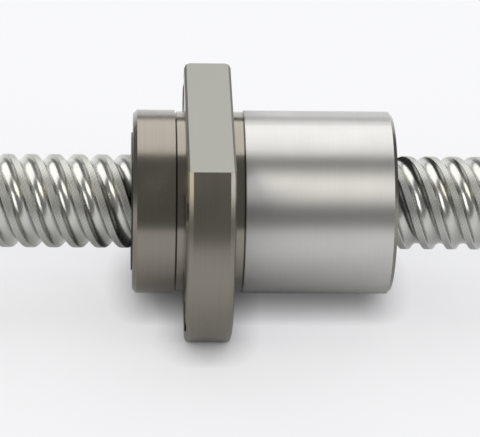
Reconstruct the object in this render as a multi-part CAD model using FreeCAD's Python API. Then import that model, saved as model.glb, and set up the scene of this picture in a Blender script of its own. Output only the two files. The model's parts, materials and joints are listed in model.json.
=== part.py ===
import FreeCAD, Part

import math
import os

import Mesh
from FreeCAD import Placement, Rotation, Vector

# Ball screw with a flanged nut whose balls return through end deflectors.
# X runs along the screw, and X = 0 is the flange's seating face, on the screw's axis.
# The flange stands on its lower flat, so Z is up. Angles about X start at +Y and turn towards +Z.

# Thread
lead = 20.0
starts = 4
screw_diameter = 19.9
screw_length = 200.0
screw_reach_left = 113.0
screw_end_chamfer = 1.5
land_bevel_depth = 0.12
land_bevel_width = 0.4
groove_curve_points = 9

# Balls and the path they run in
ball_diameter = 3.175
ball_circle_diameter = 20.75
groove_clearance = 0.12
ball_gap = 0.03
circuit_turns = 2
return_circle_diameter = 29.2
return_bore_clearance = 0.16
return_bore_angle = -19.8
lift_relief_clearance = 0.5

# The nut's grooves are cut in flat facets, a little wider than the screw's
nut_groove_clearance = 0.47
nut_groove_facets = 4
nut_thread_step = 1.5

# Nut body
nut_diameter = 39.0
nut_bore_diameter = 21.2
relief_length = 2.35
relief_depth = 0.22
body_chamfer = 0.75
shoulder_length = 1.8
shoulder_depth = 0.25
spigot_diameter = 35.2
end_margin = 0.47

# Flange
flange_diameter = 60.5
flange_thickness = 10.0
flange_height = 43.2
flange_rim_round = 1.2
flange_rim_facets = 2
flat_edge_bevel = 0.5
bolt_circle_diameter = 50.0
bolt_angle = 30.0
bolt_hole_diameter = 5.5
bolt_head_bore_diameter = 9.5
bolt_head_bore_depth = 5.4

# Lubrication port in the flange's rear rim, closed by a plug
port_drill_diameter = 5.0
port_depth = 8.0
port_passage_diameter = 2.0
plug_length = 6.0
plug_recess = 0.5
plug_socket_across = 3.0
plug_socket_depth = 2.5

# Deflectors, caps, wipers and what holds them
deflector_depth = 4.9
deflector_width = 4.8
left_cap_diameter = 39.1
left_cap_floor = 4.3
cap_chamfer = 0.85
joint_groove_width = 0.4
joint_groove_depth = 0.6
right_cap_thickness = 2.2
felt_thickness = 1.3
felt_diameter = 26.0
felt_clearance = 0.1
wiper_thickness = 2.0
wiper_proud = 0.3
left_wiper_diameter = 29.4
wiper_clearance = 0.2
retaining_ring_thickness = 1.2
retaining_ring_bite = 0.7
retaining_ring_width = 2.2
retaining_ring_opening = 40.0
retaining_ring_lug_radius = 1.7
retaining_ring_eye_radius = 0.75
set_screw_diameter = 3.0
set_screw_length = 2.4
set_screw_recess = 0.2
set_screw_socket_across = 1.5
set_screw_socket_depth = 1.0

# Fits
slip = 0.02
overshoot = 1.0
search_steps = 60

# Worked out from the sizes above
screw_radius = screw_diameter / 2
ball_radius = ball_diameter / 2
pitch_radius = ball_circle_diameter / 2
groove_radius = ball_radius + groove_clearance
lead_per_radian = lead / (2 * math.pi)
helix_length_per_radian = math.hypot(pitch_radius, lead_per_radian)
lead_angle = math.atan2(lead_per_radian, pitch_radius)

return_radius = return_circle_diameter / 2
return_bore_radius = ball_radius + return_bore_clearance
deflector_reach = math.sqrt(return_radius ** 2 - pitch_radius ** 2)
deflector_turn = math.degrees(math.atan2(deflector_reach, pitch_radius))
bend_radius = deflector_reach * math.sin(lead_angle) / (1 + math.sin(lead_angle))
lift_length = deflector_reach * (1 - math.sin(lead_angle)) / math.cos(lead_angle)
full_bend = lead_angle + math.pi / 2
turnaround_length = lift_length + bend_radius * full_bend
raceway_length = lead * (360 * circuit_turns - 2 * deflector_turn) / 360
raceway_path_length = raceway_length / math.sin(lead_angle)
circuit_length = raceway_path_length + raceway_length + 2 * turnaround_length

nut_radius = nut_diameter / 2
bore_radius = nut_bore_diameter / 2
left_cap_radius = left_cap_diameter / 2
spigot_radius = spigot_diameter / 2
raceway_left = -flange_thickness - shoulder_length
raceway_right = raceway_left + raceway_length
spigot_end = raceway_left - deflector_depth
left_end = spigot_end - left_cap_floor
right_seat = raceway_right + deflector_depth
right_wiper_start = right_seat + right_cap_thickness
ring_start = right_wiper_start + wiper_thickness
right_end = ring_start + retaining_ring_thickness + end_margin

AXIS = Vector(1, 0, 0)
CENTRE = Vector(0, 0, 0)


def groove_angle(x):
    """Angle of the first groove's centre at X = x, in degrees."""
    return return_bore_angle + deflector_turn + 360 * (x - raceway_left) / lead


def turned(y, z, degrees, x):
    """The point (x, y, z) turned about X."""
    a = math.radians(degrees)
    return Vector(x, y * math.cos(a) - z * math.sin(a), y * math.sin(a) + z * math.cos(a))


def disc(x0, x1, radius):
    """A cylinder about the screw's axis from X = x0 to X = x1."""
    return Part.makeCylinder(radius, x1 - x0, Vector(x0, 0, 0), AXIS)


def ring(x0, x1, outer, inner):
    """A ring about the screw's axis, cut with some overshoot."""
    return disc(x0, x1, outer).cut(disc(x0 - overshoot, x1 + overshoot, inner))


def turned_solid(outline):
    """The solid swept by a closed outline of (x, radius) points about the screw's axis."""
    points = [Vector(x, 0, r) for x, r in outline]
    face = Part.Face(Part.makePolygon(points + points[:1]))
    return face.revolve(CENTRE, AXIS, 360)


def hexagon(across, depth):
    """A hexagonal prism along +X from the origin, for a socket."""
    corner = across / math.sqrt(3)
    points = [turned(corner, 0, 60 * k, 0) for k in range(7)]
    return Part.Face(Part.makePolygon(points)).extrude(Vector(depth, 0, 0))


def radial(shape, x, radius, degrees):
    """Places a shape made along +X so that it starts at a radius and points outwards."""
    spin = Rotation(AXIS, degrees)
    aim = spin.multiply(Rotation(Vector(0, 0, 1), 90))
    placed = shape.copy()
    placed.Placement = Placement(turned(radius, 0, degrees, x), aim)
    return placed


# Thread form
def ball_tube(s, tube_radius):
    """Where the round tube swept by the ball centre's helix meets the plane X = 0.

    s goes round the tube and is 0 at its point nearest the axis. Returns (y, z).
    """
    cos_lead = pitch_radius / helix_length_per_radian
    sin_lead = lead_per_radian / helix_length_per_radian
    t = -tube_radius * math.sin(s) * cos_lead / lead_per_radian
    inward = pitch_radius - tube_radius * math.cos(s)
    sideways = tube_radius * math.sin(s) * sin_lead
    y = inward * math.cos(t) + sideways * math.sin(t)
    z = inward * math.sin(t) - sideways * math.cos(t)
    return y, z


def tube_side(tube_radius, radius):
    """The s at which the tube's section crosses a radius, between its two poles."""
    low, high = 0.0, math.pi
    for _ in range(search_steps):
        middle = (low + high) / 2
        if math.hypot(*ball_tube(middle, tube_radius)) < radius:
            low = middle
        else:
            high = middle
    return (low + high) / 2


def groove_points(x, start, tube_radius, s0, s1, count):
    """Points along one groove in the plane X = x, from s0 to s1 round its tube."""
    angle = groove_angle(x) + 360 * start / starts
    points = []
    for i in range(count):
        y, z = ball_tube(s0 + (s1 - s0) * i / (count - 1), tube_radius)
        points.append(turned(y, z, angle, x))
    return points


def on_land(point, degrees, radius):
    """The point turned about X by some degrees and moved out or in to a radius."""
    grow = radius / math.hypot(point.y, point.z)
    return turned(point.y * grow, point.z * grow, degrees, point.x)


def arc_about_axis(first, last, x, radius):
    """The arc about X between two points, the short way round."""
    y = first.y + last.y
    z = first.z + last.z
    scale = radius / math.hypot(y, z)
    return Part.Arc(first, Vector(x, y * scale, z * scale), last).toShape()


def thread_section(x, radius, tube_radius, bevel_depth, bevel_width):
    """Closed section of the screw's thread in the plane X = x, with its lands' edges bevelled."""
    edge = tube_side(tube_radius, radius - bevel_depth)
    grooves = [
        groove_points(x, k, tube_radius, edge, -edge, groove_curve_points) for k in range(starts)
    ]
    edges = []
    for k, groove in enumerate(grooves):
        curve = Part.BSplineCurve()
        curve.interpolate(groove)
        edges.append(curve.toShape())
        land_start = groove[-1]
        land_end = grooves[(k + 1) % starts][0]
        if bevel_depth > 0:
            turn = math.degrees(bevel_width / radius)
            bevel_top = on_land(land_start, turn, radius)
            next_bevel_top = on_land(land_end, -turn, radius)
            edges.append(Part.LineSegment(land_start, bevel_top).toShape())
            edges.append(Part.LineSegment(next_bevel_top, land_end).toShape())
            land_start, land_end = bevel_top, next_bevel_top
        edges.append(arc_about_axis(land_start, land_end, x, radius))
    return Part.Wire(Part.sortEdges(edges)[0])


def threaded_core(x0, x1, radius, tube_radius, bevel_depth=0.0, bevel_width=0.0):
    """A threaded bar from X = x0 to X = x1: the section twisted along the screw's helix."""
    section = thread_section(x0, radius, tube_radius, bevel_depth, bevel_width)
    spine = Part.Wire(Part.LineSegment(Vector(x0, 0, 0), Vector(x1, 0, 0)).toShape())
    helix = Part.makeHelix(lead, x1 - x0, pitch_radius)
    helix.Placement = Placement(Vector(x0, 0, 0), Rotation(Vector(0, 1, 0), 90))
    sweep = Part.BRepOffsetAPI.MakePipeShell(spine)
    sweep.setAuxiliarySpine(Part.Wire(helix.Edges), True, 0)
    sweep.add(section, False, False)
    sweep.build()
    sweep.makeSolid()
    return sweep.shape()


def faceted_core(x0, x1):
    """The space inside the nut's thread from X = x0 to X = x1, in flat facets.

    Each ring of points is the section at one X, and facets join it to the next ring.
    """
    tube_radius = ball_radius + nut_groove_clearance
    edge = tube_side(tube_radius, bore_radius)
    steps = math.ceil((x1 - x0) / nut_thread_step)
    rings = []
    for i in range(steps + 1):
        x = x0 + (x1 - x0) * i / steps
        ring = []
        for k in range(starts):
            ring += groove_points(x, k, tube_radius, edge - 2 * math.pi, -edge, nut_groove_facets + 1)
        rings.append(ring)
    count = len(rings[0])
    corners = []
    for here, there in zip(rings, rings[1:]):
        for j in range(count):
            after = (j + 1) % count
            corners += [here[j], here[after], there[j]]
            corners += [here[after], there[after], there[j]]
    left_centre = Vector(x0, 0, 0)
    right_centre = Vector(x1, 0, 0)
    for j in range(count):
        after = (j + 1) % count
        corners += [left_centre, rings[0][after], rings[0][j]]
        corners += [right_centre, rings[-1][j], rings[-1][after]]
    shape = Part.Shape()
    shape.makeShapeFromMesh(Mesh.Mesh(corners).Topology, slip)
    return Part.Solid(Part.Shell(shape.Faces))


# Ball path
def deflector_frame(right_side, circuit):
    """Turns a shape made at a raceway's end on +Y, leading to +Z, onto one end of one circuit."""
    x = raceway_right if right_side else raceway_left
    place = Placement(Vector(x, 0, 0), Rotation(AXIS, groove_angle(x) + 360 * circuit / starts))
    if right_side:
        return place
    return place.multiply(Placement(CENTRE, Rotation(Vector(0, 1, 0), 180)))


def lift_point(distance):
    """A point on the straight that lifts a ball out of the thread, in a deflector's own frame."""
    along = distance * math.cos(lead_angle)
    return Vector(distance * math.sin(lead_angle), pitch_radius, along)


def bend_point(turn):
    """A point on the bend into the return bore, turn radians after the straight."""
    heading = lead_angle - turn
    start = lift_point(lift_length)
    rise = bend_radius * (math.cos(heading) - math.cos(lead_angle))
    along = bend_radius * (math.sin(lead_angle) - math.sin(heading))
    return Vector(start.x + rise, pitch_radius, start.z + along)


def channel_tool(radius):
    """The tube that the balls run in through a deflector, open at the deflector's near end."""
    start = lift_point(-deflector_width)
    end = bend_point(full_bend)
    straight = Part.LineSegment(start, lift_point(lift_length)).toShape()
    bend = Part.Arc(bend_point(0), bend_point(full_bend / 2), end).toShape()
    exit_run = Part.LineSegment(end, end - AXIS * overshoot).toShape()
    path = Part.Wire([straight, bend, exit_run])
    mouth = Part.Wire(Part.makeCircle(radius, start, lift_point(0) - start))
    return path.makePipeShell([mouth], True, False)


def deflector_point(distance):
    """A ball centre in a deflector's own frame, by its distance from the raceway's end."""
    if distance <= lift_length:
        return lift_point(distance)
    return bend_point((distance - lift_length) / bend_radius)


def circuit_point(distance, circuit):
    """A ball centre on a closed circuit, by its distance from the raceway's left end."""
    if distance <= raceway_path_length:
        x = raceway_left + distance * math.sin(lead_angle)
        return turned(pitch_radius, 0, groove_angle(x) + 360 * circuit / starts, x)
    distance -= raceway_path_length
    if distance <= turnaround_length:
        return deflector_frame(True, circuit).multVec(deflector_point(distance))
    distance -= turnaround_length
    if distance <= raceway_length:
        x = raceway_right - distance
        return turned(return_radius, 0, return_bore_angle + 360 * circuit / starts, x)
    distance -= raceway_length
    return deflector_frame(False, circuit).multVec(deflector_point(turnaround_length - distance))


def ball_places(circuit):
    """Ball centres round one circuit, each just clear of the one before."""
    spacing = ball_diameter + ball_gap
    places = [circuit_point(0, circuit)]
    here = 0.0
    while True:
        low, high = here + spacing, here + 2 * spacing
        for _ in range(search_steps):
            middle = (low + high) / 2
            centre = circuit_point(min(middle, circuit_length), circuit)
            if centre.distanceToPoint(places[-1]) < spacing:
                low = middle
            else:
                high = middle
        here = high
        if circuit_length - here < spacing:
            return places
        places.append(circuit_point(here, circuit))


# Pieces
def make_screw():
    """A bar of four-start ground thread, chamfered at both ends."""
    left = -screw_reach_left
    right = left + screw_length
    bar = threaded_core(left, right, screw_radius, groove_radius, land_bevel_depth, land_bevel_width)
    chamfer = screw_end_chamfer
    envelope = turned_solid([
        (left, 0),
        (left, screw_radius - chamfer),
        (left + chamfer, screw_radius + slip),
        (right - chamfer, screw_radius + slip),
        (right, screw_radius - chamfer),
        (right, 0),
    ])
    return bar.common(envelope)


def rim_corner(x, side):
    """The (x, radius) points of one rounded rim corner, from the face on that side to the rim."""
    rim = flange_diameter / 2
    points = []
    for i in range(flange_rim_facets + 1):
        turn = math.radians(90 * i / flange_rim_facets)
        along = flange_rim_round * (1 - math.sin(turn))
        inwards = flange_rim_round * (1 - math.cos(turn))
        points.append((x - side * along, rim - inwards))
    return points


def make_flange():
    """A round flange with broken rims, cut to two flats with bevelled edges."""
    left = -flange_thickness
    left_corner = rim_corner(left, -1)
    right_corner = rim_corner(0, 1)
    wheel = turned_solid([(left, 0)] + left_corner[::-1] + right_corner + [(0, 0)])
    half = flange_height / 2
    b = flat_edge_bevel
    points = [
        (left, -half + b), (left + b, -half), (-b, -half), (0, -half + b),
        (0, half - b), (-b, half), (left + b, half), (left, half - b),
    ]
    wide = flange_diameter
    section = Part.makePolygon([Vector(x, -wide, z) for x, z in points + points[:1]])
    flats = Part.Face(section).extrude(Vector(0, 2 * wide, 0))
    return wheel.common(flats)


def bolt_places():
    """Radius and angles of the flange's holes, two on each side of the flats."""
    radius = bolt_circle_diameter / 2
    return [(radius, angle) for side in (0, 180) for angle in (side - bolt_angle, side + bolt_angle)]


def make_nut_body():
    """Flange and barrel in one piece, with a spigot for the left cap and a counterbore at the right."""
    shoulder_radius = nut_radius - shoulder_depth
    relief_radius = nut_radius - relief_depth
    barrel = turned_solid([
        (spigot_end, 0),
        (spigot_end, spigot_radius),
        (raceway_left, spigot_radius),
        (raceway_left, shoulder_radius),
        (-flange_thickness / 2, shoulder_radius),
        (-flange_thickness / 2, relief_radius),
        (relief_length, relief_radius),
        (relief_length + relief_depth, nut_radius),
        (right_end - body_chamfer, nut_radius),
        (right_end, nut_radius - body_chamfer),
        (right_end, 0),
    ])
    body = barrel.fuse(make_flange()).removeSplitter()
    tools = [disc(right_seat, right_end + overshoot, spigot_radius)]
    ring_groove_radius = spigot_radius + retaining_ring_bite + slip
    tools.append(disc(ring_start, ring_start + retaining_ring_thickness + slip, ring_groove_radius))
    for radius, angle in bolt_places():
        centre = turned(radius, 0, angle, 0)
        hole_start = Vector(-flange_thickness - overshoot, centre.y, centre.z)
        hole_length = flange_thickness + 2 * overshoot
        tools.append(Part.makeCylinder(bolt_hole_diameter / 2, hole_length, hole_start, AXIS))
        head_length = bolt_head_bore_depth + overshoot
        tools.append(Part.makeCylinder(bolt_head_bore_diameter / 2, head_length, hole_start, AXIS))
    for circuit in range(starts):
        angle = return_bore_angle + 360 * circuit / starts
        centre = turned(return_radius, 0, angle, spigot_end - overshoot)
        bore_length = right_seat - spigot_end + 2 * overshoot
        tools.append(Part.makeCylinder(return_bore_radius, bore_length, centre, AXIS))
        for right_side in (False, True):
            tools.append(deflector_pocket(right_side, circuit))
            tools.append(lift_relief(right_side, circuit))
    tools += port_tools()
    tools += set_screw_holes()
    return body.cut(tools).cut(faceted_core(spigot_end - overshoot, right_seat + overshoot))


def port_tools():
    """The tapped port in the flange's rim and the passage from it to the balls."""
    rim = flange_diameter / 2
    x = -flange_thickness / 2
    drill = Part.makeCylinder(port_drill_diameter / 2, port_depth + overshoot, CENTRE, AXIS)
    passage_length = rim - port_depth - bore_radius + overshoot
    passage = Part.makeCylinder(port_passage_diameter / 2, passage_length + overshoot, CENTRE, AXIS)
    return [
        radial(drill, x, rim - port_depth, 0),
        radial(passage, x, bore_radius - overshoot, 0),
    ]


def make_lube_plug():
    """A socket set screw that closes the port just below the flange's rim."""
    radius = port_drill_diameter / 2 - slip
    plug = Part.makeCylinder(radius, plug_length, CENTRE, AXIS)
    socket = hexagon(plug_socket_across, plug_socket_depth + overshoot)
    socket.translate(Vector(plug_length - plug_socket_depth, 0, 0))
    rim = flange_diameter / 2
    return radial(plug.cut(socket), -flange_thickness / 2, rim - plug_recess - plug_length, 0)


def deflector_block(width, depth):
    """A deflector's outline, from the raceway's end to the return bore, before its channel is cut."""
    half = width / 2
    start = Vector(0, pitch_radius, 0)
    end = Vector(0, pitch_radius, deflector_reach)
    edges = [
        Part.LineSegment(start + Vector(0, half, 0), end + Vector(0, half, 0)),
        Part.Arc(end + Vector(0, half, 0), end + Vector(0, 0, half), end - Vector(0, half, 0)),
        Part.LineSegment(end - Vector(0, half, 0), start - Vector(0, half, 0)),
        Part.Arc(start - Vector(0, half, 0), start - Vector(0, 0, half), start + Vector(0, half, 0)),
    ]
    outline = Part.Wire([edge.toShape() for edge in edges])
    return Part.Face(outline).extrude(Vector(depth, 0, 0))


def deflector_pocket(right_side, circuit):
    """The space for one deflector in the end of the nut body."""
    pocket = deflector_block(deflector_width + 2 * slip, deflector_depth + overshoot)
    pocket.Placement = deflector_frame(right_side, circuit)
    return pocket


def lift_relief(right_side, circuit):
    """The round relief in a pocket's floor where a ball leaves the raceway."""
    start = lift_point(-ball_radius)
    direction = lift_point(0) - start
    relief = Part.makeCylinder(ball_radius + lift_relief_clearance, lift_length, start, direction)
    relief.Placement = deflector_frame(right_side, circuit)
    return relief


def make_deflector(right_side, circuit):
    """A moulded block with the channel that turns the balls from the thread into a return bore."""
    block = deflector_block(deflector_width, deflector_depth)
    block = block.cut(disc(-overshoot, deflector_depth + overshoot, bore_radius))
    block = block.cut(channel_tool(groove_radius))
    block.Placement = deflector_frame(right_side, circuit)
    return block


def make_balls(circuit):
    """All the balls of one circuit."""
    return Part.makeCompound([Part.makeSphere(ball_radius, place) for place in ball_places(circuit)])


def set_screw_places():
    """X and angles of the two screws that lock the left cap, between the return bores."""
    x = (spigot_end + raceway_left - joint_groove_width) / 2
    between = 180 / starts
    return [(x, return_bore_angle + between), (x, return_bore_angle - between)]


def set_screw_holes():
    """The holes for those screws, through the cap's wall and into the spigot."""
    inner = left_cap_radius - set_screw_recess - set_screw_length - slip
    tools = []
    for x, angle in set_screw_places():
        drill = Part.makeCylinder(set_screw_diameter / 2 + slip, set_screw_length + overshoot, CENTRE, AXIS)
        tools.append(radial(drill, x, inner, angle))
    return tools


def make_cap_set_screws():
    """Two short set screws with hexagon sockets."""
    inner = left_cap_radius - set_screw_recess - set_screw_length
    body = Part.makeCylinder(set_screw_diameter / 2, set_screw_length, CENTRE, AXIS)
    socket = hexagon(set_screw_socket_across, set_screw_socket_depth + overshoot)
    socket.translate(Vector(set_screw_length - set_screw_socket_depth, 0, 0))
    screw = body.cut(socket)
    return Part.makeCompound([radial(screw, x, inner, angle) for x, angle in set_screw_places()])


def make_end_cap_left():
    """A cap over the spigot, with a narrow groove left open at its joint with the nut body."""
    groove = raceway_left - joint_groove_width
    blank = turned_solid([
        (left_end, 0),
        (left_end, left_cap_radius - cap_chamfer),
        (left_end + cap_chamfer, left_cap_radius),
        (groove, left_cap_radius),
        (groove, left_cap_radius - joint_groove_depth),
        (raceway_left, left_cap_radius - joint_groove_depth),
        (raceway_left, 0),
    ])
    pocket_floor = left_end + wiper_thickness - wiper_proud
    tools = [
        disc(spigot_end, raceway_left + overshoot, spigot_radius + slip),
        disc(left_end - overshoot, raceway_left, bore_radius),
        disc(left_end - overshoot, pocket_floor, left_wiper_diameter / 2 + slip),
    ]
    return blank.cut(tools + set_screw_holes())


def make_end_cap_right():
    """A disc in the nut body's counterbore that closes the deflectors and holds the felt."""
    x0 = right_seat
    x1 = right_seat + right_cap_thickness
    cap = ring(x0, x1, spigot_radius - slip, bore_radius)
    return cap.cut(disc(x1 - felt_thickness - slip, x1 + overshoot, felt_diameter / 2 + felt_clearance))


def make_felt_ring():
    """A soft ring that oils the thread, held between the right cap and wiper."""
    x1 = right_wiper_start - slip
    return ring(x1 - felt_thickness + slip, x1, felt_diameter / 2, screw_radius + felt_clearance)


def wiper(x0, outer_radius):
    """A wiper whose bore follows the screw's grooves."""
    core = threaded_core(
        x0 - overshoot, x0 + wiper_thickness + overshoot,
        screw_radius + wiper_clearance, groove_radius - wiper_clearance,
    )
    return disc(x0, x0 + wiper_thickness, outer_radius).cut(core)


def make_wiper_left():
    """The wiper that stands a little proud of the left cap."""
    return wiper(left_end - wiper_proud, left_wiper_diameter / 2)


def make_wiper_right():
    """The wiper behind the retaining ring, as wide as the counterbore."""
    return wiper(right_wiper_start, spigot_radius - slip)


def make_retaining_ring():
    """An open spring ring with two eyes, sprung into its groove beside the right wiper."""
    x0 = ring_start
    x1 = ring_start + retaining_ring_thickness
    outer = spigot_radius + retaining_ring_bite
    inner = outer - retaining_ring_width
    half = retaining_ring_opening / 2
    down = -90
    far = 2 * outer
    gap_points = [Vector(x0 - overshoot, 0, 0)]
    for angle in (down - half, down + half):
        gap_points.append(turned(far, 0, angle, x0 - overshoot))
    thickness = retaining_ring_thickness + 2 * overshoot
    wedge = Part.Face(Part.makePolygon(gap_points + gap_points[:1])).extrude(Vector(thickness, 0, 0))
    band = ring(x0, x1, outer, inner).cut(wedge)
    eye_offset = math.degrees(retaining_ring_lug_radius / inner)
    for angle in (down - half - eye_offset, down + half + eye_offset):
        centre = turned(inner, 0, angle, x0)
        lug = Part.makeCylinder(retaining_ring_lug_radius, retaining_ring_thickness, centre, AXIS)
        eye = Part.makeCylinder(retaining_ring_eye_radius, thickness, centre - AXIS * overshoot, AXIS)
        band = band.fuse(lug).cut(eye)
    return band.removeSplitter()


def make_parts():
    """Every piece by its name."""
    parts = {
        "screw_shaft": make_screw(),
        "nut_body": make_nut_body(),
        "end_cap_left": make_end_cap_left(),
        "end_cap_right": make_end_cap_right(),
        "wiper_left": make_wiper_left(),
        "wiper_right": make_wiper_right(),
        "felt_ring": make_felt_ring(),
        "retaining_ring": make_retaining_ring(),
        "cap_set_screws": make_cap_set_screws(),
        "lube_plug": make_lube_plug(),
    }
    for circuit in range(starts):
        parts[f"balls_track_{circuit + 1}"] = make_balls(circuit)
        parts[f"deflector_left_{circuit + 1}"] = make_deflector(False, circuit)
        parts[f"deflector_right_{circuit + 1}"] = make_deflector(True, circuit)
    return parts


def main():
    """Writes one STEP file for each piece."""
    os.makedirs("parts", exist_ok=True)
    for name, shape in make_parts().items():
        shape.exportStep(f"parts/{name}.step")
        print(name, len(shape.Solids), round(shape.Volume, 2), shape.isValid())
    print("raceway", raceway_left, raceway_right, "ends", left_end, right_end)


main()
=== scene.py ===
import json
import math

import bmesh
import bpy
from mathutils import Matrix, Vector


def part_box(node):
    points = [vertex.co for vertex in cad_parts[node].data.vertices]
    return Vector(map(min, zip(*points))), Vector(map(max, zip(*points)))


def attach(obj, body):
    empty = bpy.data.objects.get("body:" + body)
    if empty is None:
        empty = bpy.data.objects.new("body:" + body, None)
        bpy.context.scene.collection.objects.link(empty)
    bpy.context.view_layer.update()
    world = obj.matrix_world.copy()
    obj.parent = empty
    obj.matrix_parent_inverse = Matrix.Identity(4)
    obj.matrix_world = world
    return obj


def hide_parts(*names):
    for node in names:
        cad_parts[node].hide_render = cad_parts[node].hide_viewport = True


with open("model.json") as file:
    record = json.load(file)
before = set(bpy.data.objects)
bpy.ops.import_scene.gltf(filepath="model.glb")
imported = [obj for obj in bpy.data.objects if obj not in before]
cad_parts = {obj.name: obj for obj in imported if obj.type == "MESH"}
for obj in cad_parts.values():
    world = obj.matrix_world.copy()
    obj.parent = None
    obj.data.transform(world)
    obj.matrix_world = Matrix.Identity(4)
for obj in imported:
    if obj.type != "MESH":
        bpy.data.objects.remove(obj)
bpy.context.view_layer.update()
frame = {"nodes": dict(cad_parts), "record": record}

bl_info = {
    "name": "Ball Screw",
    "version": (1, 0, 0),
    "blender": (4, 5, 0),
    "location": "View3D > Sidebar > Ball Screw",
    "description": "Finishes a flanged ball nut and its four-start screw, and sets them on a pale table",
    "category": "Object",
}

MM = 0.001

# The picture's width and the camera's sensor
PICTURE_WIDTH_PX = 480
SENSOR_WIDTH_MM = 36.0

# The thread's form, which the screw's solid in the frame shares
SCREW_LOW, SCREW_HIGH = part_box("screw_shaft")
SCREW_RADIUS = SCREW_HIGH.z
COUPLING = next(iter(frame["record"]["behaviour"]["couplings"]))
TURN_PER_METRE = COUPLING["ratio"] if COUPLING["follows"] == "screw_travel" else 1 / COUPLING["ratio"]
LEAD = 2 * math.pi / TURN_PER_METRE
STARTS = 4
RACEWAY_LEFT = -11.8 * MM
GROOVE_DEGREES_AT_RACEWAY = 24.915

# Where one turned surface of the nut ends and the next begins
NUT_LOW, NUT_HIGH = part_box("nut_body")
FLANGE_TOP = NUT_HIGH.z
FLANGE_LEFT = -10.0 * MM
RELIEF_END = 2.4 * MM
# Width of the painted shade in the corner where the relief meets the barrel
CORNER_SHADE_WIDTH = 0.35 * MM
CHAMFER_START = NUT_HIGH.x - 0.75 * MM
COLLAR_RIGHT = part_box("end_cap_left")[1].x
# Width of the painted shade in the joint groove between the left cap and the nut
JOINT_SHADE_WIDTH = 0.4 * MM

# How the thread's lands and bevels are told from its grooves, as depths below the lands
LAND_SKIN = 0.03 * MM
BEVEL_FLOOR = 0.13 * MM

# Half the table's width, and how far its contact shadow reaches for the camera and in the metal
TABLE_REACH = 4.0
CONTACT_SHADOW_REACH = 7 * MM
REFLECTED_SHADOW_REACH = 35 * MM


def linear(hex_colour):
    """An sRGB hex colour as linear red, green, blue."""
    values = [int(hex_colour[i:i + 2], 16) / 255 for i in (0, 2, 4)]
    return tuple(v / 12.92 if v <= 0.04045 else ((v + 0.055) / 1.055) ** 2.4 for v in values)


def colour(hex_colour, label, note):
    """A colour property whose default is an sRGB hex colour."""
    return bpy.props.FloatVectorProperty(
        name=label, description=note, subtype="COLOR", size=3, min=0, max=1,
        default=linear(hex_colour),
    )


def length(millimetres, label, note):
    """A length property with its default in millimetres."""
    return bpy.props.FloatProperty(
        name=label, description=note, subtype="DISTANCE", unit="LENGTH", min=0,
        default=millimetres * MM,
    )


def degrees(value, label, note):
    """An angle property with its default in degrees."""
    return bpy.props.FloatProperty(
        name=label, description=note, subtype="ANGLE", unit="ROTATION",
        default=math.radians(value),
    )


class ThreadSizes(bpy.types.PropertyGroup):
    """Sizes of the screw's thread."""

    ball_diameter: length(3.175, "Ball", "Diameter of the balls that run in the thread")
    ball_circle: length(20.75, "Ball Circle", "Diameter of the circle that the ball centres lie on")
    groove_clearance: length(0.12, "Groove Clearance", "How much wider the groove's arc is than a ball")
    bevel_depth: length(0.12, "Bevel Depth", "Depth of the bevel along each edge of a groove")
    bevel_width: length(0.4, "Bevel Width", "Width of the bevel along each edge of a groove")
    end_chamfer: length(1.5, "End Chamfer", "Chamfer at the screw's two ends")
    station_step: length(0.25, "Station Step", "Distance between two cross-sections of the mesh")
    groove_segments: bpy.props.IntProperty(
        name="Groove Segments", description="Flat pieces across a groove", min=4, default=12
    )
    land_segments: bpy.props.IntProperty(
        name="Land Segments", description="Flat pieces across a land", min=1, default=4
    )


class FinishColours(bpy.types.PropertyGroup):
    """Colours of the metals, polymers and the table."""

    ground_steel: colour("DCDBD8", "Ground Steel", "The nut's ground barrel")
    burnished_steel: colour("7B766D", "Burnished Steel", "The turned flange, lands and collar")
    flat_steel: colour("80807A", "Milled Flat", "The flange's two milled flats")
    thread_steel: colour("B1B1AC", "Thread Steel", "The screw's ground and polished thread")
    bearing_steel: colour("CFD0D1", "Bearing Steel", "The balls")
    spring_steel: colour("6F6C68", "Spring Steel", "The retaining ring")
    black_steel: colour("2B2A29", "Blackened Steel", "Set screws and the plug")
    deflector_polymer: colour("C9C3B2", "Deflector Polymer", "The moulded deflectors")
    wiper_polymer: colour("2A2A2B", "Wiper Polymer", "The two wipers")
    oiled_felt: colour("A89A78", "Oiled Felt", "The felt ring behind the right wiper")
    table: colour("D8D9DB", "Table", "The pale table under the part")


class StudioSettings(bpy.types.PropertyGroup):
    """The camera, its distance and its lamps."""

    camera_elevation: degrees(34.25, "Elevation", "How far above level the camera looks down from")
    camera_roll: degrees(2.173, "Roll", "How far the camera is turned about its line of sight")
    camera_distance: length(593.7, "Camera Distance", "Distance from the camera to the screw's axis")
    camera_foot: bpy.props.FloatProperty(
        name="Camera Foot", description="X of the point on the axis that the camera stands square to",
        unit="LENGTH", default=-25.84 * MM,
    )
    aim_x: bpy.props.FloatProperty(
        name="Aim X", description="X of the point that the camera looks at", unit="LENGTH",
        default=2.0 * MM,
    )
    aim_drop: length(
        3.574, "Aim Drop", "How far below the axis the camera looks, square to its line of sight"
    )
    focal_length_px: bpy.props.FloatProperty(
        name="Focal Length", description="Focal length in pixels of the 480 pixel wide picture",
        default=2781.8,
    )
    rear_brightness: bpy.props.FloatProperty(
        name="Rear Softbox", description="Brightness of the softbox above and behind", default=2.1
    )
    side_brightness: bpy.props.FloatProperty(
        name="Side Softboxes", description="Brightness of the two softboxes at the front corners",
        default=3.2,
    )
    room_level: bpy.props.FloatProperty(
        name="Room", description="Brightness of the room that the metal reflects", default=0.28
    )


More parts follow.
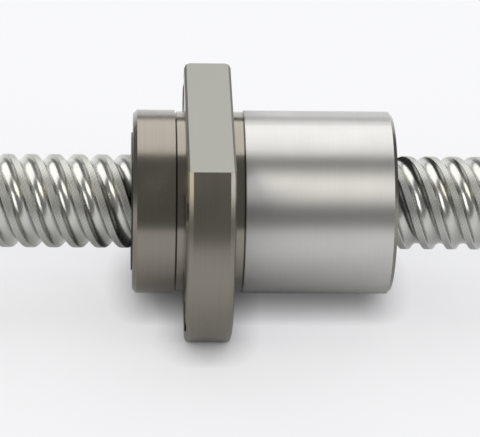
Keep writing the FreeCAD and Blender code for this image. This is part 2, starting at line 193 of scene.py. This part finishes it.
# Node helpers
def add(tree, kind, settings=None, **inputs):
    """Adds a node. Settings are its properties, and inputs are values or sockets by input name."""
    node = tree.nodes.new(kind)
    for name, value in (settings or {}).items():
        setattr(node, name, value)
    for name, value in inputs.items():
        key = int(name[1:]) if name[0] == "i" and name[1:].isdigit() else name.replace("_", " ")
        if isinstance(value, bpy.types.NodeSocket):
            tree.links.new(value, node.inputs[key])
        else:
            node.inputs[key].default_value = value
    return node


def new_material(name):
    """An empty material with its surface shader and its object coordinates in millimetres."""
    material = bpy.data.materials.new(name)
    material.use_nodes = True
    tree = material.node_tree
    tree.nodes.clear()
    shader = add(tree, "ShaderNodeBsdfPrincipled")
    output = add(tree, "ShaderNodeOutputMaterial")
    tree.links.new(shader.outputs["BSDF"], output.inputs["Surface"])
    coordinates = add(tree, "ShaderNodeTexCoord")
    place = add(
        tree, "ShaderNodeVectorMath", {"operation": "SCALE"},
        Vector=coordinates.outputs["Object"], Scale=1000.0,
    )
    return material, tree, shader, place.outputs["Vector"]


def axis_radius(tree, place):
    """Place along the screw's axis and distance from it, in millimetres."""
    parts = add(tree, "ShaderNodeSeparateXYZ", Vector=place)
    flat = add(tree, "ShaderNodeCombineXYZ", Y=parts.outputs["Y"], Z=parts.outputs["Z"])
    measure = add(tree, "ShaderNodeVectorMath", {"operation": "LENGTH"}, Vector=flat.outputs["Vector"])
    return parts.outputs["X"], measure.outputs["Value"]


def turning_marks(tree, place):
    """Noise in rings about the axis, as a lathe or a grinding wheel leaves it.

    It changes fast along the axis and across a face, and only slowly round the axis.
    """
    spacing_mm = 0.16
    drift = 0.02
    x, radius = axis_radius(tree, place)
    across = add(tree, "ShaderNodeMath", {"operation": "ADD"}, i0=x, i1=radius)
    parts = add(tree, "ShaderNodeSeparateXYZ", Vector=place)
    fine = add(tree, "ShaderNodeMath", {"operation": "DIVIDE"}, i0=across.outputs["Value"], i1=spacing_mm)
    around_y = add(tree, "ShaderNodeMath", {"operation": "MULTIPLY"}, i0=parts.outputs["Y"], i1=drift)
    around_z = add(tree, "ShaderNodeMath", {"operation": "MULTIPLY"}, i0=parts.outputs["Z"], i1=drift)
    coordinates = add(
        tree, "ShaderNodeCombineXYZ",
        X=fine.outputs["Value"], Y=around_y.outputs["Value"], Z=around_z.outputs["Value"],
    )
    noise = add(
        tree, "ShaderNodeTexNoise", {"noise_dimensions": "3D"},
        Vector=coordinates.outputs["Vector"], Scale=1.0, Detail=3.0, Roughness=0.6,
    )
    return noise.outputs["Fac"]


def uneven_patches(tree, place):
    """Broad, soft noise, as a handled metal surface is a little uneven."""
    noise = add(tree, "ShaderNodeTexNoise", Vector=place, Scale=0.12, Detail=4.0, Roughness=0.55)
    return noise.outputs["Fac"]


def spread(tree, value, low, high):
    """Maps the middle half of a noise to low..high."""
    node = add(
        tree, "ShaderNodeMapRange", i0=value, From_Min=0.25, From_Max=0.75, To_Min=low, To_Max=high
    )
    return node.outputs["Result"]


def between(tree, value, low, high):
    """1 where value lies between low and high, else 0."""
    above = add(tree, "ShaderNodeMath", {"operation": "GREATER_THAN"}, i0=value, i1=low)
    below = add(tree, "ShaderNodeMath", {"operation": "LESS_THAN"}, i0=value, i1=high)
    both = add(
        tree, "ShaderNodeMath", {"operation": "MULTIPLY"},
        i0=above.outputs["Value"], i1=below.outputs["Value"],
    )
    return both.outputs["Value"]


def mix_colours(tree, factor, first, second):
    """Blends two colours, each a value or a socket."""
    node = add(tree, "ShaderNodeMix", {"data_type": "RGBA"}, i0=factor)
    colour_inputs = (6, 7)
    colour_output = 2
    for index, value in zip(colour_inputs, (first, second)):
        if isinstance(value, bpy.types.NodeSocket):
            tree.links.new(value, node.inputs[index])
        else:
            node.inputs[index].default_value = (*value, 1.0)
    return node.outputs[colour_output]


def mix_numbers(tree, factor, first, second):
    """Blends two numbers, each a value or a socket."""
    node = add(tree, "ShaderNodeMix", {"data_type": "FLOAT"}, i0=factor, i2=first, i3=second)
    return node.outputs[0]


def shade(colour_value, amount):
    """A colour made lighter or darker by a factor."""
    return tuple(min(1.0, v * amount) for v in colour_value)


def mottled(tree, noise, colour_value, darkest, lightest):
    """A colour that a noise makes darker or lighter, between two factors."""
    return mix_colours(
        tree, spread(tree, noise, 0.0, 1.0), shade(colour_value, darkest), shade(colour_value, lightest)
    )


def bump(tree, shader, height, depth_mm):
    """Roughens a shader's surface by a height from 0 to 1 times a depth."""
    node = add(tree, "ShaderNodeBump", Height=height, Strength=1.0, Distance=depth_mm * MM)
    tree.links.new(node.outputs["Normal"], shader.inputs["Normal"])


# Materials
def make_nut_steel(colours):
    """Hardened steel. The barrel is cylindrically ground, so it is bright, and its fine marks
    spread reflections along the axis. The flange and the lands beside it are finish-turned and
    burnished to a brown-grey mirror with faint rings, and the flats are milled. A painted shade
    darkens the corner where the relief meets the barrel."""
    material, tree, shader, place = new_material("hardened_steel_ground_and_turned")
    parts = add(tree, "ShaderNodeSeparateXYZ", Vector=place)
    x = parts.outputs["X"]
    height = add(tree, "ShaderNodeMath", {"operation": "ABSOLUTE"}, i0=parts.outputs["Z"])
    face_margin = 0.1
    flat_skin = 0.05
    on_barrel = between(tree, x, RELIEF_END / MM, CHAMFER_START / MM)
    on_flange = between(tree, x, FLANGE_LEFT / MM - face_margin, face_margin)
    high = add(
        tree, "ShaderNodeMath", {"operation": "GREATER_THAN"},
        i0=height.outputs["Value"], i1=FLANGE_TOP / MM - flat_skin,
    )
    on_flat = add(
        tree, "ShaderNodeMath", {"operation": "MULTIPLY"}, i0=on_flange, i1=high.outputs["Value"]
    ).outputs["Value"]

    marks = turning_marks(tree, place)
    patches = uneven_patches(tree, place)
    turned = mottled(tree, marks, colours.burnished_steel, 0.95, 1.05)
    # Painted shade: the corner where the relief meets the barrel is darkened in the colour, where the
    # step's shadow falls
    in_shaded_corner = between(tree, x, (RELIEF_END - CORNER_SHADE_WIDTH) / MM, RELIEF_END / MM)
    turned = mix_colours(tree, in_shaded_corner, turned, shade(colours.burnished_steel, 0.25))
    ground = mottled(tree, marks, colours.ground_steel, 0.98, 1.02)
    milled = mottled(tree, patches, colours.flat_steel, 0.95, 1.05)
    base = mix_colours(tree, on_barrel, turned, ground)
    base = mix_colours(tree, on_flat, base, milled)
    tree.links.new(base, shader.inputs["Base Color"])

    rough_land = spread(tree, patches, 0.15, 0.21)
    rough_flange = spread(tree, patches, 0.3, 0.36)
    rough_barrel = spread(tree, patches, 0.53, 0.59)
    rough_flat = spread(tree, patches, 0.36, 0.44)
    rough = mix_numbers(tree, on_flange, rough_land, rough_flange)
    rough = mix_numbers(tree, on_barrel, rough, rough_barrel)
    rough = mix_numbers(tree, on_flat, rough, rough_flat)
    tree.links.new(rough, shader.inputs["Roughness"])
    shader.inputs["Metallic"].default_value = 1.0
    depth = mix_numbers(tree, on_flat, 1.0, 0.0)
    raised = add(tree, "ShaderNodeMath", {"operation": "MULTIPLY"}, i0=marks, i1=depth)
    bump(tree, shader, raised.outputs["Value"], 0.005)
    along_axis = add(tree, "ShaderNodeCombineXYZ", X=1.0)
    tree.links.new(along_axis.outputs["Vector"], shader.inputs["Tangent"])
    tree.links.new(mix_numbers(tree, on_barrel, 0.0, 1.0), shader.inputs["Anisotropic"])
    return material


def make_turned_steel(name, base_colour, roughness):
    """Steel finish-turned on a lathe, with faint rings that follow the tool. A painted shade darkens
    the joint groove between the left cap and the nut."""
    material, tree, shader, place = new_material(name)
    x = axis_radius(tree, place)[0]
    marks = turning_marks(tree, place)
    base = mottled(tree, marks, base_colour, 0.95, 1.05)
    # Painted shade: the joint groove between the left cap and the nut is darkened in the colour, where
    # shade falls in the groove
    in_shaded_joint = between(tree, x, (COLLAR_RIGHT - JOINT_SHADE_WIDTH) / MM, COLLAR_RIGHT / MM)
    base = mix_colours(tree, in_shaded_joint, base, shade(base_colour, 0.15))
    tree.links.new(base, shader.inputs["Base Color"])
    shader.inputs["Metallic"].default_value = 1.0
    patches = uneven_patches(tree, place)
    tree.links.new(
        spread(tree, patches, roughness * 0.85, roughness * 1.2), shader.inputs["Roughness"]
    )
    bump(tree, shader, marks, 0.005)
    return material


def make_thread_steel(colours):
    """Bearing steel. The grooves are ground and polished along the thread, the lands between them
    keep the duller, grained surface of the bar, and the bevels beside the grooves are painted paler as a
    painted highlight along each groove's edge."""
    material, tree, shader, place = new_material("bearing_steel_ground_thread")
    radius = axis_radius(tree, place)[1]
    bevel_top = (SCREW_RADIUS - LAND_SKIN) / MM
    bevel_floor = (SCREW_RADIUS - BEVEL_FLOOR) / MM
    on_land = add(
        tree, "ShaderNodeMath", {"operation": "GREATER_THAN"}, i0=radius, i1=bevel_top
    ).outputs["Value"]
    on_bevel = between(tree, radius, bevel_floor, bevel_top)
    flow = add(tree, "ShaderNodeAttribute", {"attribute_name": "thread_flow"})
    stretched = add(
        tree, "ShaderNodeMapping", Vector=flow.outputs["Vector"], Scale=(9.0, 0.08, 1.0)
    )
    marks = add(
        tree, "ShaderNodeTexNoise", Vector=stretched.outputs["Vector"], Scale=1.0, Detail=4.0,
        Roughness=0.6,
    ).outputs["Fac"]
    patches = add(
        tree, "ShaderNodeTexNoise", Vector=place, Scale=0.25, Detail=3.0, Roughness=0.5
    ).outputs["Fac"]
    groove = mottled(tree, marks, colours.thread_steel, 0.92, 1.06)
    land = mottled(tree, marks, colours.thread_steel, 0.55, 0.95)
    base = mix_colours(tree, on_land, groove, land)
    # Painted highlight: the bevels are painted paler than the steel, for the bright line along each
    # groove's edge
    base = mix_colours(tree, on_bevel, base, shade(colours.thread_steel, 1.5))
    tree.links.new(base, shader.inputs["Base Color"])
    shader.inputs["Metallic"].default_value = 1.0
    polished = spread(tree, patches, 0.22, 0.3)
    dull = spread(tree, marks, 0.36, 0.5)
    rough = mix_numbers(tree, on_land, polished, dull)
    tree.links.new(mix_numbers(tree, on_bevel, rough, 0.42), shader.inputs["Roughness"])
    depth = mix_numbers(tree, on_land, 0.15, 1.0)
    raised = add(tree, "ShaderNodeMath", {"operation": "MULTIPLY"}, i0=marks, i1=depth)
    bump(tree, shader, raised.outputs["Value"], 0.03)
    return material


def make_polished_steel(name, base_colour, roughness):
    """Steel polished all over, such as a ball: a mirror with a hint of haze."""
    material, tree, shader, place = new_material(name)
    haze = add(
        tree, "ShaderNodeTexNoise", Vector=place, Scale=1.5, Detail=3.0, Roughness=0.5
    ).outputs["Fac"]
    tree.links.new(spread(tree, haze, roughness * 0.7, roughness * 1.4), shader.inputs["Roughness"])
    base = mix_colours(tree, haze, shade(base_colour, 0.95), shade(base_colour, 1.05))
    tree.links.new(base, shader.inputs["Base Color"])
    shader.inputs["Metallic"].default_value = 1.0
    return material


def make_blackened_steel(colours):
    """Alloy steel with a black oxide: dark, slightly oily, and a little uneven."""
    material, tree, shader, place = new_material("alloy_steel_black_oxide")
    grain = add(
        tree, "ShaderNodeTexNoise", Vector=place, Scale=4.0, Detail=5.0, Roughness=0.6
    ).outputs["Fac"]
    base = mottled(tree, grain, colours.black_steel, 0.8, 1.5)
    tree.links.new(base, shader.inputs["Base Color"])
    shader.inputs["Metallic"].default_value = 0.7
    tree.links.new(spread(tree, grain, 0.32, 0.45), shader.inputs["Roughness"])
    bump(tree, shader, grain, 0.01)
    return material


def make_moulded_polymer(name, base_colour, roughness, grain_mm):
    """An engineering polymer such as acetal, injection moulded: even colour with a fine skin."""
    material, tree, shader, place = new_material(name)
    grain = add(
        tree, "ShaderNodeTexNoise", Vector=place, Scale=1.0 / grain_mm, Detail=4.0, Roughness=0.6
    ).outputs["Fac"]
    base = mottled(tree, grain, base_colour, 0.93, 1.08)
    tree.links.new(base, shader.inputs["Base Color"])
    shader.inputs["IOR"].default_value = 1.48
    tree.links.new(spread(tree, grain, roughness * 0.9, roughness * 1.15), shader.inputs["Roughness"])
    bump(tree, shader, grain, 0.02)
    return material


def make_oiled_felt(colours):
    """Pressed wool felt, soaked with oil: fibres in every direction, darker where it is wet."""
    material, tree, shader, place = new_material("wool_felt_oiled")
    fibre = add(
        tree, "ShaderNodeTexNoise", Vector=place, Scale=6.0, Detail=6.0, Roughness=0.75,
        Distortion=1.5,
    ).outputs["Fac"]
    base = mottled(tree, fibre, colours.oiled_felt, 0.7, 1.2)
    tree.links.new(base, shader.inputs["Base Color"])
    shader.inputs["Roughness"].default_value = 0.8
    shader.inputs["Sheen Weight"].default_value = 0.25
    bump(tree, shader, fibre, 0.08)
    return material


def dress(node_names, material):
    """Puts one material into every slot of the frame's nodes with these names."""
    for name in node_names:
        if name not in frame["nodes"]:
            raise RuntimeError(f"the frame has no node {name}")
        node = frame["nodes"][name]
        if not node.material_slots:
            raise RuntimeError(f"node {name} has no material slot")
        for slot in node.material_slots:
            slot.material = material


def settings():
    """The thread's sizes and the finishes' colours."""
    return bpy.context.scene.ball_screw_thread, bpy.context.scene.ball_screw_finish


# The screw's thread
def tube_point(s, tube_radius, pitch_radius):
    """Where a round tube about the balls' helix meets a plane square to the axis.

    s goes round the tube from its point nearest the axis. Returns the radius and the angle from
    the groove's middle.
    """
    rise = LEAD / (2 * math.pi)
    along_helix = math.hypot(pitch_radius, rise)
    t = -tube_radius * math.sin(s) * (pitch_radius / along_helix) / rise
    inward = pitch_radius - tube_radius * math.cos(s)
    sideways = tube_radius * math.sin(s) * rise / along_helix
    return math.hypot(inward, sideways), t - math.atan2(sideways, inward)


def tube_side(tube_radius, pitch_radius, radius):
    """The s at which the tube crosses a radius, by halving."""
    low, high = 0.0, math.pi
    halvings = 50
    for _ in range(halvings):
        middle = (low + high) / 2
        if tube_point(middle, tube_radius, pitch_radius)[0] < radius:
            low = middle
        else:
            high = middle
    return low


def thread_profile(sizes):
    """Cross-section of the screw at X = 0 as (radius, angle, is an edge line) round the axis."""
    tube_radius = sizes.ball_diameter / 2 + sizes.groove_clearance
    pitch_radius = sizes.ball_circle / 2
    edge = tube_side(tube_radius, pitch_radius, SCREW_RADIUS - sizes.bevel_depth)
    groove = []
    for i in range(sizes.groove_segments + 1):
        s = edge - 2 * edge * i / sizes.groove_segments
        radius, angle = tube_point(s, tube_radius, pitch_radius)
        groove.append((radius, angle, i in (0, sizes.groove_segments)))
    pitch = 2 * math.pi / STARTS
    land_start = groove[-1][1] + sizes.bevel_width / SCREW_RADIUS
    land_end = groove[0][1] + pitch - sizes.bevel_width / SCREW_RADIUS
    land = []
    for i in range(sizes.land_segments + 1):
        angle = land_start + (land_end - land_start) * i / sizes.land_segments
        land.append((SCREW_RADIUS, angle, i in (0, sizes.land_segments)))
    middle = math.radians(GROOVE_DEGREES_AT_RACEWAY) - 2 * math.pi * RACEWAY_LEFT / LEAD
    ring = []
    for start in range(STARTS):
        turn = middle + start * pitch
        ring += [(radius, angle + turn, line) for radius, angle, line in groove + land]
    return ring


def profile_object(ring):
    """The cross-section as a closed ring of edges in the plane X = 0."""
    mesh = bpy.data.meshes.new("thread_profile")
    points = [(0.0, r * math.cos(a), r * math.sin(a)) for r, a, _ in ring]
    count = len(points)
    mesh.from_pydata(points, [(i, (i + 1) % count) for i in range(count)], [])
    flow = mesh.attributes.new("across", "FLOAT", "POINT")
    travelled = 0.0
    for i in range(count):
        flow.data[i].value = travelled / MM
        travelled += (Vector(points[(i + 1) % count]) - Vector(points[i])).length
    profile = bpy.data.objects.new("screw_thread", mesh)
    bpy.context.scene.collection.objects.link(profile)
    return profile


def thread_tree():
    """Geometry Nodes that twist a cross-section along the axis at the thread's lead.

    A grid has a row for each station along the axis and a column for each point of the section.
    The half and the quarter that are added to whole numbers keep FLOOR clear of rounding.
    """
    tree = bpy.data.node_groups.new("Twisted Thread", "GeometryNodeTree")
    face = tree.interface
    face.new_socket("Geometry", in_out="OUTPUT", socket_type="NodeSocketGeometry")
    face.new_socket("Cross Section", in_out="INPUT", socket_type="NodeSocketGeometry")
    for name in ("Left End", "Length", "Lead", "Radius", "End Chamfer"):
        face.new_socket(name, in_out="INPUT", socket_type="NodeSocketFloat")
    face.new_socket("Stations", in_out="INPUT", socket_type="NodeSocketInt")
    face.new_socket("Finish", in_out="INPUT", socket_type="NodeSocketMaterial")
    given = add(tree, "NodeGroupInput").outputs

    def maths(operation, first, second=0.0):
        node = add(tree, "ShaderNodeMath", {"operation": operation}, i0=first, i1=second)
        return node.outputs["Value"]

    count = add(tree, "GeometryNodeAttributeDomainSize", Geometry=given["Cross Section"])
    points_round = count.outputs["Point Count"]
    columns = maths("ADD", points_round, 1.0)
    grid = add(
        tree, "GeometryNodeMeshGrid", Size_X=1.0, Size_Y=1.0,
        Vertices_X=given["Stations"], Vertices_Y=columns,
    )
    index = add(tree, "GeometryNodeInputIndex").outputs["Index"]
    station = maths("FLOOR", maths("DIVIDE", maths("ADD", index, 0.5), columns))
    column = maths("SUBTRACT", index, maths("MULTIPLY", station, columns))
    wrapped = maths("FLOORED_MODULO", maths("ADD", column, 0.25), points_round)
    column_round = maths("FLOOR", wrapped)
    share = maths("DIVIDE", station, maths("SUBTRACT", given["Stations"], 1.0))
    from_left = maths("MULTIPLY", share, given["Length"])
    along = maths("ADD", from_left, given["Left End"])
    position = add(tree, "GeometryNodeInputPosition").outputs["Position"]
    section = add(
        tree, "GeometryNodeSampleIndex", {"data_type": "FLOAT_VECTOR"},
        Geometry=given["Cross Section"], Value=position, Index=column_round,
    ).outputs["Value"]
    turn = maths("MULTIPLY", maths("DIVIDE", along, given["Lead"]), 2 * math.pi)
    twisted = add(
        tree, "ShaderNodeVectorRotate", {"rotation_type": "X_AXIS"}, Vector=section, Angle=turn
    ).outputs["Vector"]
    size = add(tree, "ShaderNodeVectorMath", {"operation": "LENGTH"}, Vector=section).outputs["Value"]
    to_end = maths("MINIMUM", from_left, maths("SUBTRACT", given["Length"], from_left))
    cone = maths("ADD", maths("SUBTRACT", given["Radius"], given["End Chamfer"]), to_end)
    shrink = maths("MINIMUM", maths("DIVIDE", cone, size), 1.0)
    scaled = add(tree, "ShaderNodeVectorMath", {"operation": "SCALE"}, Vector=twisted, Scale=shrink)
    offset = add(tree, "ShaderNodeCombineXYZ", X=along)
    final = add(
        tree, "ShaderNodeVectorMath", {"operation": "ADD"},
        i0=scaled.outputs["Vector"], i1=offset.outputs["Vector"],
    )
    moved = add(
        tree, "GeometryNodeSetPosition", Geometry=grid.outputs["Mesh"], Position=final.outputs["Vector"]
    )
    numbered = add(
        tree, "GeometryNodeStoreNamedAttribute", {"data_type": "INT", "domain": "POINT"},
        Geometry=moved.outputs["Geometry"], Name="profile_point", Value=column_round,
    )
    named = add(tree, "GeometryNodeInputNamedAttribute", {"data_type": "FLOAT"}, Name="across")
    across = add(
        tree, "GeometryNodeSampleIndex", {"data_type": "FLOAT"},
        Geometry=given["Cross Section"], Value=named.outputs["Attribute"], Index=column_round,
    ).outputs["Value"]
    flow = add(tree, "ShaderNodeCombineXYZ", X=across, Y=maths("MULTIPLY", along, 1000.0))
    flowing = add(
        tree, "GeometryNodeStoreNamedAttribute", {"data_type": "FLOAT_VECTOR", "domain": "POINT"},
        Geometry=numbered.outputs["Geometry"], Name="thread_flow", Value=flow.outputs["Vector"],
    )
    real = add(tree, "GeometryNodeRealizeInstances", Geometry=flowing.outputs["Geometry"])
    finished = add(
        tree, "GeometryNodeSetMaterial", Geometry=real.outputs["Geometry"], Material=given["Finish"]
    )
    add(tree, "NodeGroupOutput", Geometry=finished.outputs["Geometry"])
    return tree


def set_inputs(modifier, values):
    """Sets a Geometry Nodes modifier's inputs by their sockets' identifiers."""
    for item in modifier.node_group.interface.items_tree:
        if item.item_type == "SOCKET" and item.in_out == "INPUT" and item.name in values:
            modifier[item.identifier] = values[item.name]


def plain_mesh(made, name):
    """The evaluated object's mesh, with its modifiers taken off the object."""
    depsgraph = bpy.context.evaluated_depsgraph_get()
    mesh = bpy.data.meshes.new_from_object(made.evaluated_get(depsgraph))
    mesh.name = name
    made.modifiers.clear()
    made.data = mesh
    return mesh


def close_ends(mesh, edge_columns):
    """Merges the seam, closes both ends, and keeps the groove's and land's edges crisp."""
    seam_gap = 1e-7
    work = bmesh.new()
    work.from_mesh(mesh)
    bmesh.ops.remove_doubles(work, verts=work.verts, dist=seam_gap)
    open_edges = [e for e in work.edges if e.is_boundary]
    bmesh.ops.holes_fill(work, edges=open_edges, sides=0)
    bmesh.ops.recalc_face_normals(work, faces=work.faces)
    column = work.verts.layers.int["profile_point"]
    flat_ends = {f for f in work.faces if len(f.verts) > 4}
    for face in work.faces:
        face.smooth = face not in flat_ends
    for edge in work.edges:
        first, second = edge.verts
        same = first[column] == second[column]
        at_end = any(f in flat_ends for f in edge.link_faces)
        edge.smooth = not (at_end or (same and first[column] in edge_columns))
    work.to_mesh(mesh)
    work.free()


class BALLSCREW_OT_screw(bpy.types.Operator):
    """Makes the screw's thread and gives it its polished finish"""

    bl_idname = "ballscrew.screw"
    bl_label = "Screw"

    def execute(self, context):
        sizes, colours = settings()
        ring = thread_profile(sizes)
        screw = profile_object(ring)
        modifier = screw.modifiers.new("Twisted Thread", "NODES")
        modifier.node_group = thread_tree()
        span = SCREW_HIGH.x - SCREW_LOW.x
        set_inputs(modifier, {
            "Left End": SCREW_LOW.x,
            "Length": span,
            "Lead": LEAD,
            "Radius": SCREW_RADIUS,
            "End Chamfer": sizes.end_chamfer,
            "Stations": round(span / sizes.station_step) + 1,
            "Finish": make_thread_steel(colours),
        })
        mesh = plain_mesh(screw, "screw_thread")
        fewest_faces = 1000
        if len(mesh.polygons) < fewest_faces:
            raise RuntimeError("the thread's mesh is empty")
        close_ends(mesh, {i for i, point in enumerate(ring) if point[2]})
        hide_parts("screw_shaft")
        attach(screw, "screw")
        return {"FINISHED"}


class BALLSCREW_OT_nut(bpy.types.Operator):
    """Gives the nut body and the left end cap their turned and ground finishes"""

    bl_idname = "ballscrew.nut"
    bl_label = "Nut and Caps"

    def execute(self, context):
        colours = settings()[1]
        dress(["nut_body"], make_nut_steel(colours))
        collar = make_turned_steel("steel_turned_burnished", colours.burnished_steel, 0.24)
        dress(["end_cap_left"], collar)
        inner = make_turned_steel("steel_turned_inner", colours.thread_steel, 0.3)
        dress(["end_cap_right"], inner)
        return {"FINISHED"}


class BALLSCREW_OT_seals(bpy.types.Operator):
    """Gives the wipers, the felt and the deflectors their finishes"""

    bl_idname = "ballscrew.seals"
    bl_label = "Wipers and Deflectors"

    def execute(self, context):
        colours = settings()[1]
        wiper = make_moulded_polymer("acetal_black_moulded", colours.wiper_polymer, 0.42, 0.5)
        dress(["wiper_left", "wiper_right"], wiper)
        dress(["felt_ring"], make_oiled_felt(colours))
        sides = [f"deflector_{side}_{k + 1}" for side in ("left", "right") for k in range(STARTS)]
        deflector = make_moulded_polymer("acetal_natural_moulded", colours.deflector_polymer, 0.38, 0.4)
        dress(sides, deflector)
        return {"FINISHED"}


class BALLSCREW_OT_balls(bpy.types.Operator):
    """Gives the balls their mirror polish"""

    bl_idname = "ballscrew.balls"
    bl_label = "Balls"

    def execute(self, context):
        colours = settings()[1]
        polish = make_polished_steel("bearing_steel_polished", colours.bearing_steel, 0.06)
        dress([f"balls_track_{k + 1}" for k in range(STARTS)], polish)
        return {"FINISHED"}


class BALLSCREW_OT_fasteners(bpy.types.Operator):
    """Gives the retaining ring, the set screws and the plug their finishes"""

    bl_idname = "ballscrew.fasteners"
    bl_label = "Fasteners"

    def execute(self, context):
        colours = settings()[1]
        dress(["cap_set_screws", "lube_plug"], make_blackened_steel(colours))
        spring = make_polished_steel("spring_steel_phosphated", colours.spring_steel, 0.35)
        dress(["retaining_ring"], spring)
        return {"FINISHED"}


# The studio
def look_at(place, target, roll):
    """A matrix for a camera or lamp at a place, facing a target, turned by roll."""
    aim = (target - place).to_track_quat("-Z", "Y").to_matrix().to_4x4()
    return Matrix.Translation(place) @ aim @ Matrix.Rotation(roll, 4, "Z")


def softbox(name, brightness, size, place, target, tint=(1.0, 1.0, 1.0)):
    """A rectangular lamp whose face has the same brightness, whatever its size."""
    lamp = bpy.data.lights.new(name, "AREA")
    lamp.shape = "RECTANGLE"
    lamp.size, lamp.size_y = size
    lamp.energy = brightness * math.pi * lamp.size * lamp.size_y
    lamp.color = tint
    holder = bpy.data.objects.new(name, lamp)
    bpy.context.scene.collection.objects.link(holder)
    holder.matrix_world = look_at(Vector(place), Vector(target), 0.0)


def make_table_material(colours):
    """White laminate, matt. The camera and the metal see it paler than it lights the part, except
    close to the part, where the contact shadow stays."""
    material, tree, shader, place = new_material("laminate_white_matt")
    grain = add(
        tree, "ShaderNodeTexNoise", Vector=place, Scale=0.02, Detail=2.0, Roughness=0.5
    ).outputs["Fac"]
    base = mix_colours(tree, grain, shade(colours.table, 0.99), shade(colours.table, 1.01))
    rays = add(tree, "ShaderNodeLightPath")
    in_metal = rays.outputs["Is Glossy Ray"]
    seen = rays.outputs["Is Camera Ray"]
    base = mix_colours(tree, in_metal, base, shade(colours.table, 0.7))
    base = mix_colours(tree, seen, base, shade(colours.table, 0.35))
    tree.links.new(base, shader.inputs["Base Color"])

    reach = mix_numbers(tree, in_metal, CONTACT_SHADOW_REACH, REFLECTED_SHADOW_REACH)
    openness = add(tree, "ShaderNodeAmbientOcclusion", Distance=reach).outputs["AO"]
    lift = mix_numbers(tree, in_metal, mix_numbers(tree, seen, 0.0, 0.62), 0.57)
    glow = add(tree, "ShaderNodeMath", {"operation": "MULTIPLY"}, i0=lift, i1=openness)
    tree.links.new(glow.outputs["Value"], shader.inputs["Emission Strength"])
    shader.inputs["Emission Color"].default_value = (0.98, 0.98, 1.0, 1.0)
    shader.inputs["Roughness"].default_value = 0.75
    shader.inputs["Specular IOR Level"].default_value = 0.2
    return material


class BALLSCREW_OT_stage(bpy.types.Operator):
    """Makes the table, the lamps and the camera"""

    bl_idname = "ballscrew.stage"
    bl_label = "Stage"

    def execute(self, context):
        scene = context.scene
        studio = scene.ball_screw_studio
        colours = scene.ball_screw_finish
        mesh = bpy.data.meshes.new("table")
        corners = ((-1, -1), (1, -1), (1, 1), (-1, 1))
        mesh.from_pydata(
            [(x * TABLE_REACH, y * TABLE_REACH, NUT_LOW.z) for x, y in corners], [], [(0, 1, 2, 3)]
        )
        table = bpy.data.objects.new("table", mesh)
        scene.collection.objects.link(table)
        mesh.materials.append(make_table_material(colours))

        middle = (0.0, 0.0, 0.0)
        rear_size = (2.4, 2.0)
        rear_place = (0.0, 0.98, 1.3)
        softbox("rear_softbox", studio.rear_brightness, rear_size, rear_place, middle)
        backdrop_size = (1.6, 0.3)
        backdrop_place = (0.0, 1.7, 0.15)
        backdrop_target = (0.0, 0.0, 0.15)
        dimmed = studio.rear_brightness * 0.6
        softbox("backdrop", dimmed, backdrop_size, backdrop_place, backdrop_target)
        side_size = (0.8, 1.0)
        warm = (1.0, 0.95, 0.84)
        cool = (0.97, 0.98, 1.0)
        for side, name, tint in ((-1, "left_softbox", warm), (1, "right_softbox", cool)):
            side_place = (side * 0.95, -0.65, 0.95)
            softbox(name, studio.side_brightness, side_size, side_place, middle, tint)

        world = bpy.data.worlds.new("plain_room")
        world.use_nodes = True
        background = next(n for n in world.node_tree.nodes if n.type == "BACKGROUND")
        level = studio.room_level
        background.inputs["Color"].default_value = (level, level, level, 1.0)
        background.inputs["Strength"].default_value = 1.0
        scene.world = world

        camera = bpy.data.cameras.new("camera")
        camera.sensor_width = SENSOR_WIDTH_MM
        camera.lens = studio.focal_length_px * SENSOR_WIDTH_MM / PICTURE_WIDTH_PX
        camera.clip_start = 0.01
        camera.clip_end = 20.0
        holder = bpy.data.objects.new("camera", camera)
        scene.collection.objects.link(holder)
        tilt = studio.camera_elevation
        away = Vector((0.0, -math.cos(tilt), math.sin(tilt)))
        up = Vector((0.0, math.sin(tilt), math.cos(tilt)))
        place = Vector((studio.camera_foot, 0.0, 0.0)) + away * studio.camera_distance
        target = Vector((studio.aim_x, 0.0, 0.0)) - up * studio.aim_drop
        holder.matrix_world = look_at(place, target, studio.camera_roll)
        scene.camera = holder
        scene.view_settings.view_transform = "Standard"
        return {"FINISHED"}


class BALLSCREW_PT_panel(bpy.types.Panel):
    """Lists the steps that finish the ball screw"""

    bl_idname = "BALLSCREW_PT_panel"
    bl_label = "Ball Screw"
    bl_space_type = "VIEW_3D"
    bl_region_type = "UI"
    bl_category = "Ball Screw"

    def draw(self, context):
        for step in STEPS:
            self.layout.operator(step.bl_idname)


GROUPS = {
    "ball_screw_thread": ThreadSizes,
    "ball_screw_finish": FinishColours,
    "ball_screw_studio": StudioSettings,
}
STEPS = (
    BALLSCREW_OT_stage,
    BALLSCREW_OT_screw,
    BALLSCREW_OT_nut,
    BALLSCREW_OT_seals,
    BALLSCREW_OT_balls,
    BALLSCREW_OT_fasteners,
)


def register():
    for group in GROUPS.values():
        bpy.utils.register_class(group)
    for step in STEPS + (BALLSCREW_PT_panel,):
        bpy.utils.register_class(step)
    for name, group in GROUPS.items():
        setattr(bpy.types.Scene, name, bpy.props.PointerProperty(type=group))


def unregister():
    for name in GROUPS:
        delattr(bpy.types.Scene, name)
    for step in (BALLSCREW_PT_panel,) + STEPS[::-1]:
        bpy.utils.unregister_class(step)
    for group in GROUPS.values():
        bpy.utils.unregister_class(group)


def main():
    register()
    for step in STEPS:
        category, name = step.bl_idname.split(".")
        getattr(getattr(bpy.ops, category), name)()


if __name__ == "__main__":
    main()
